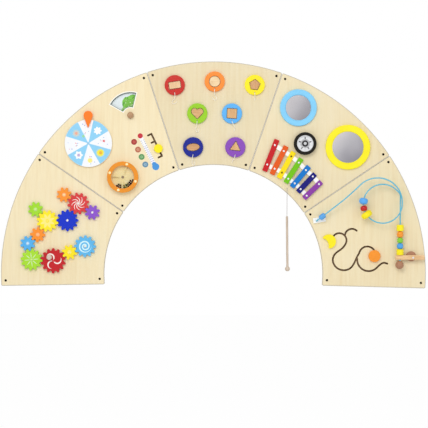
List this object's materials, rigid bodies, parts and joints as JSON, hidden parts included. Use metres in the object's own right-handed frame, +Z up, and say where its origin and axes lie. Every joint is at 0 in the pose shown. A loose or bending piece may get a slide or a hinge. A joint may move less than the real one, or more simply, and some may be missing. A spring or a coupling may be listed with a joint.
{
  "type": "wooden busy board",
  "caption": "Half-ring wall board of five plywood play panels with gears, dials, lift-out shapes, chimes, mirrors, and bead and groove mazes.",
  "frame": {"origin": "middle of the centre panel's back, on the wall plane", "axes": "+X to the right, +Y into the wall, +Z up; the play side faces -Y"},
  "size_m": [1.95, 0.088, 1.0355],
  "materials": {
    "panel_gears": "clear-lacquered birch plywood",
    "panel_weather": "clear-lacquered birch plywood",
    "panel_shapes": "clear-lacquered birch plywood",
    "panel_music": "clear-lacquered birch plywood",
    "panel_maze": "clear-lacquered birch plywood",
    "gear_crank_red": "glossy paint on wood",
    "gear_lime_large": "glossy paint on wood",
    "gear_sky_small": "glossy paint on wood",
    "gear_orange_lower": "glossy paint on wood",
    "gear_yellow_large": "glossy paint on wood",
    "gear_lime_small": "glossy paint on wood",
    "gear_blue_large": "glossy paint on wood",
    "gear_red_large": "glossy paint on wood",
    "gear_orange_upper": "glossy paint on wood",
    "gear_purple_small": "glossy paint on wood",
    "gear_yellow_small": "glossy paint on wood",
    "gear_sky_large": "glossy paint on wood",
    "crank_knob": "glossy paint on wood",
    "pivot_pins": "clear-lacquered beech",
    "weather_wheel": "printed and lacquered plywood",
    "weather_pointer": "glossy paint on wood",
    "season_disc": "printed and lacquered plywood",
    "season_knob": "glossy paint on wood",
    "back_plates": "bare plywood",
    "slider_knob": "glossy paint on wood",
    "moon_knob": "glossy paint on wood",
    "sun_knob": "glossy paint on wood",
    "drum_base": "clear-lacquered beech",
    "drum_ring": "glossy paint on wood",
    "drum_window": "clear acrylic",
    "drum_granules": "mixed glossy colours",
    "shape_rings": "glossy paint on wood, each ring its own colour",
    "rectangle_block": "clear-lacquered beech",
    "circle_block": "clear-lacquered beech",
    "pentagon_block": "clear-lacquered beech",
    "heart_block": "clear-lacquered beech",
    "square_block": "clear-lacquered beech",
    "ellipse_block": "clear-lacquered beech",
    "triangle_block": "clear-lacquered beech",
    "shape_cords": "cotton cord",
    "mirror_frames": "glossy paint on wood, one frame blue and one yellow",
    "mirrors": "acrylic mirror",
    "wheel_tyre": "soft rubber",
    "wheel_hub": "silvered plastic",
    "chime_bars": "enamel, each bar its own colour",
    "chime_rails": "white paint on wood",
    "steel_screws": "bright steel",
    "mallet": "clear-lacquered beech",
    "mallet_cord": "cotton cord",
    "maze_wire": "blue plastic coat on steel wire",
    "maze_supports": "clear-lacquered beech; the spacer and the end ball brown",
    "bead_start_blue": "glossy paint on wood",
    "bead_loop_blue": "glossy paint on wood",
    "bead_loop_red": "glossy paint on wood",
    "bead_loop_yellow": "glossy paint on wood",
    "bead_stack_yellow_low": "glossy paint on wood",
    "bead_stack_blue": "glossy paint on wood",
    "bead_stack_green": "glossy paint on wood",
    "bead_stack_orange": "glossy paint on wood",
    "bead_stack_yellow_top": "glossy paint on wood"
  },
  "bodies": {
    "board": {"panel_gears": "panel_gears", "panel_weather": "panel_weather", "panel_shapes": "panel_shapes", "panel_music": "panel_music", "panel_maze": "panel_maze", "pivot_pins": "pivot_pins", "weather_pointer": "weather_pointer", "back_plates": "back_plates", "shape_rings": "shape_rings", "shape_cords": "shape_cords", "mirror_frames": "mirror_frames", "mirrors": "mirrors", "chime_bars": "chime_bars", "chime_rails": "chime_rails", "steel_screws": "steel_screws", "maze_wire": "maze_wire", "maze_supports": "maze_supports"},
    "crank_red_gear": {"gear_crank_red": "gear_crank_red", "crank_knob": "crank_knob"},
    "lime_large_gear": {"gear_lime_large": "gear_lime_large"},
    "sky_small_gear": {"gear_sky_small": "gear_sky_small"},
    "orange_lower_gear": {"gear_orange_lower": "gear_orange_lower"},
    "yellow_large_gear": {"gear_yellow_large": "gear_yellow_large"},
    "lime_small_gear": {"gear_lime_small": "gear_lime_small"},
    "blue_large_gear": {"gear_blue_large": "gear_blue_large"},
    "red_large_gear": {"gear_red_large": "gear_red_large"},
    "orange_upper_gear": {"gear_orange_upper": "gear_orange_upper"},
    "purple_small_gear": {"gear_purple_small": "gear_purple_small"},
    "yellow_small_gear": {"gear_yellow_small": "gear_yellow_small"},
    "sky_large_gear": {"gear_sky_large": "gear_sky_large"},
    "weather_wheel": {"weather_wheel": "weather_wheel"},
    "season_dial": {"season_disc": "season_disc", "season_knob": "season_knob"},
    "slider": {"slider_knob": "slider_knob"},
    "moon": {"moon_knob": "moon_knob"},
    "sun": {"sun_knob": "sun_knob"},
    "drum": {"drum_base": "drum_base", "drum_ring": "drum_ring", "drum_window": "drum_window", "drum_granules": "drum_granules"},
    "rectangle": {"rectangle_block": "rectangle_block"},
    "circle": {"circle_block": "circle_block"},
    "pentagon": {"pentagon_block": "pentagon_block"},
    "heart": {"heart_block": "heart_block"},
    "square": {"square_block": "square_block"},
    "ellipse": {"ellipse_block": "ellipse_block"},
    "triangle": {"triangle_block": "triangle_block"},
    "road_wheel": {"wheel_tyre": "wheel_tyre", "wheel_hub": "wheel_hub"},
    "mallet": {"mallet": "mallet", "mallet_cord": "mallet_cord"},
    "start_bead": {"bead_start_blue": "bead_start_blue"},
    "loop_yellow": {"bead_loop_yellow": "bead_loop_yellow"},
    "loop_red": {"bead_loop_red": "bead_loop_red"},
    "loop_blue": {"bead_loop_blue": "bead_loop_blue"},
    "stack_yellow_low": {"bead_stack_yellow_low": "bead_stack_yellow_low"},
    "stack_blue": {"bead_stack_blue": "bead_stack_blue"},
    "stack_green": {"bead_stack_green": "bead_stack_green"},
    "stack_orange": {"bead_stack_orange": "bead_stack_orange"},
    "stack_yellow_top": {"bead_stack_yellow_top": "bead_stack_yellow_top"}
  },
  "joints": [
    {"name": "crank_red_gear_spin", "type": "hinge", "parent": "board", "child": "crank_red_gear", "pos_m": [-0.7345, -0.025, -0.6818], "axis": [0, -1, 0], "continuous": true},
    {"name": "lime_large_gear_spin", "type": "hinge", "parent": "board", "child": "lime_large_gear", "pos_m": [-0.83385, -0.025, -0.67729], "axis": [0, -1, 0], "continuous": true},
    {"name": "sky_small_gear_spin", "type": "hinge", "parent": "board", "child": "sky_small_gear", "pos_m": [-0.85171, -0.025, -0.6029], "axis": [0, -1, 0], "continuous": true},
    {"name": "orange_lower_gear_spin", "type": "hinge", "parent": "board", "child": "orange_lower_gear", "pos_m": [-0.80594, -0.025, -0.56227], "axis": [0, -1, 0], "continuous": true},
    {"name": "yellow_large_gear_spin", "type": "hinge", "parent": "board", "child": "yellow_large_gear", "pos_m": [-0.76195, -0.025, -0.49968], "axis": [0, -1, 0], "continuous": true},
    {"name": "lime_small_gear_spin", "type": "hinge", "parent": "board", "child": "lime_small_gear", "pos_m": [-0.81707, -0.025, -0.44664], "axis": [0, -1, 0], "continuous": true},
    {"name": "blue_large_gear_spin", "type": "hinge", "parent": "board", "child": "blue_large_gear", "pos_m": [-0.67022, -0.025, -0.49632], "axis": [0, -1, 0], "continuous": true},
    {"name": "red_large_gear_spin", "type": "hinge", "parent": "board", "child": "red_large_gear", "pos_m": [-0.62116, -0.025, -0.41872], "axis": [0, -1, 0], "continuous": true},
    {"name": "orange_upper_gear_spin", "type": "hinge", "parent": "board", "child": "orange_upper_gear", "pos_m": [-0.68653, -0.025, -0.37898], "axis": [0, -1, 0], "continuous": true},
    {"name": "purple_small_gear_spin", "type": "hinge", "parent": "board", "child": "purple_small_gear", "pos_m": [-0.55629, -0.025, -0.45926], "axis": [0, -1, 0], "continuous": true},
    {"name": "yellow_small_gear_spin", "type": "hinge", "parent": "board", "child": "yellow_small_gear", "pos_m": [-0.66034, -0.025, -0.64204], "axis": [0, -1, 0], "continuous": true},
    {"name": "sky_large_gear_spin", "type": "hinge", "parent": "board", "child": "sky_large_gear", "pos_m": [-0.58897, -0.025, -0.6145], "axis": [0, -1, 0], "continuous": true},
    {"name": "weather_wheel_spin", "type": "hinge", "parent": "board", "child": "weather_wheel", "pos_m": [-0.5767, -0.024, -0.1425], "axis": [0, -1, 0], "continuous": true},
    {"name": "season_dial_spin", "type": "hinge", "parent": "board", "child": "season_dial", "pos_m": [-0.3847, -0.008, -0.0123], "axis": [0, -1, 0], "continuous": true},
    {"name": "thermometer_slide", "type": "slide", "parent": "board", "child": "slider", "axis": [0.4368, 0, -0.8995], "range_m": [-0.0742, 0.0369]},
    {"name": "moon_travel", "type": "hinge", "parent": "board", "child": "moon", "pos_m": [0.5773, -0.014, -0.5805], "axis": [0, -1, 0], "range_deg": [-197, 0]},
    {"name": "sun_travel", "type": "hinge", "parent": "board", "child": "sun", "pos_m": [0.706, -0.014, -0.6452], "axis": [0, -1, 0], "range_deg": [0, 168]},
    {"name": "drum_spin", "type": "hinge", "parent": "board", "child": "drum", "pos_m": [-0.4179, -0.03, -0.2966], "axis": [0, -1, 0], "continuous": true},
    {"name": "rectangle_lift", "type": "slide", "parent": "board", "child": "rectangle", "axis": [0, -1, 0], "range_m": [0, 0.04]},
    {"name": "circle_lift", "type": "slide", "parent": "board", "child": "circle", "axis": [0, -1, 0], "range_m": [0, 0.04]},
    {"name": "pentagon_lift", "type": "slide", "parent": "board", "child": "pentagon", "axis": [0, -1, 0], "range_m": [0, 0.04]},
    {"name": "heart_lift", "type": "slide", "parent": "board", "child": "heart", "axis": [0, -1, 0], "range_m": [0, 0.04]},
    {"name": "square_lift", "type": "slide", "parent": "board", "child": "square", "axis": [0, -1, 0], "range_m": [0, 0.04]},
    {"name": "ellipse_lift", "type": "slide", "parent": "board", "child": "ellipse", "axis": [0, -1, 0], "range_m": [0, 0.04]},
    {"name": "triangle_lift", "type": "slide", "parent": "board", "child": "triangle", "axis": [0, -1, 0], "range_m": [0, 0.04]},
    {"name": "road_wheel_spin", "type": "hinge", "parent": "board", "child": "road_wheel", "pos_m": [0.4166, -0.034, -0.1378], "axis": [0, -1, 0], "continuous": true},
    {"name": "mallet_swing", "type": "hinge", "parent": "board", "child": "mallet", "pos_m": [0.3357, -0.022, -0.3439], "axis": [0, -1, 0], "range_deg": [-40, 25]},
    {"name": "start_bead_slide", "type": "slide", "parent": "board", "child": "start_bead", "axis": [0.7801, -0.1261, 0.6128], "range_m": [-0.008, 0.075]},
    {"name": "loop_yellow_travel", "type": "hinge", "parent": "board", "child": "loop_yellow", "pos_m": [0.7712, -0.062, -0.4115], "axis": [0, -1, 0], "range_deg": [0, 75]},
    {"name": "loop_red_travel", "type": "hinge", "parent": "loop_yellow", "child": "loop_red", "pos_m": [0.7712, -0.062, -0.4115], "axis": [0, -1, 0], "range_deg": [-30, 0]},
    {"name": "loop_blue_travel", "type": "hinge", "parent": "loop_red", "child": "loop_blue", "pos_m": [0.7712, -0.062, -0.4115], "axis": [0, -1, 0], "range_deg": [-60, 0]},
    {"name": "stack_yellow_low_slide", "type": "slide", "parent": "board", "child": "stack_yellow_low", "axis": [0, 0, 1], "range_m": [0, 0.015]},
    {"name": "stack_blue_slide", "type": "slide", "parent": "stack_yellow_low", "child": "stack_blue", "axis": [0, 0, 1], "range_m": [0, 0.015]},
    {"name": "stack_green_slide", "type": "slide", "parent": "stack_blue", "child": "stack_green", "axis": [0, 0, 1], "range_m": [0, 0.015]},
    {"name": "stack_orange_slide", "type": "slide", "parent": "stack_green", "child": "stack_orange", "axis": [0, 0, 1], "range_m": [0, 0.015]},
    {"name": "stack_yellow_top_slide", "type": "slide", "parent": "stack_orange", "child": "stack_yellow_top", "axis": [0, 0, 1], "range_m": [0, 0.015]}
  ],
  "couplings": [
    {"joint": "lime_large_gear_spin", "follows": "crank_red_gear_spin", "ratio": -1.1667},
    {"joint": "sky_small_gear_spin", "follows": "crank_red_gear_spin", "ratio": 1.75},
    {"joint": "orange_lower_gear_spin", "follows": "crank_red_gear_spin", "ratio": -1.75},
    {"joint": "yellow_large_gear_spin", "follows": "crank_red_gear_spin", "ratio": 1.1667},
    {"joint": "lime_small_gear_spin", "follows": "crank_red_gear_spin", "ratio": -1.75},
    {"joint": "blue_large_gear_spin", "follows": "crank_red_gear_spin", "ratio": -1.1667},
    {"joint": "red_large_gear_spin", "follows": "crank_red_gear_spin", "ratio": 1.1667},
    {"joint": "orange_upper_gear_spin", "follows": "crank_red_gear_spin", "ratio": -1.75},
    {"joint": "purple_small_gear_spin", "follows": "crank_red_gear_spin", "ratio": -1.75},
    {"joint": "yellow_small_gear_spin", "follows": "crank_red_gear_spin", "ratio": -1.75},
    {"joint": "sky_large_gear_spin", "follows": "crank_red_gear_spin", "ratio": 1.1667}
  ]
}
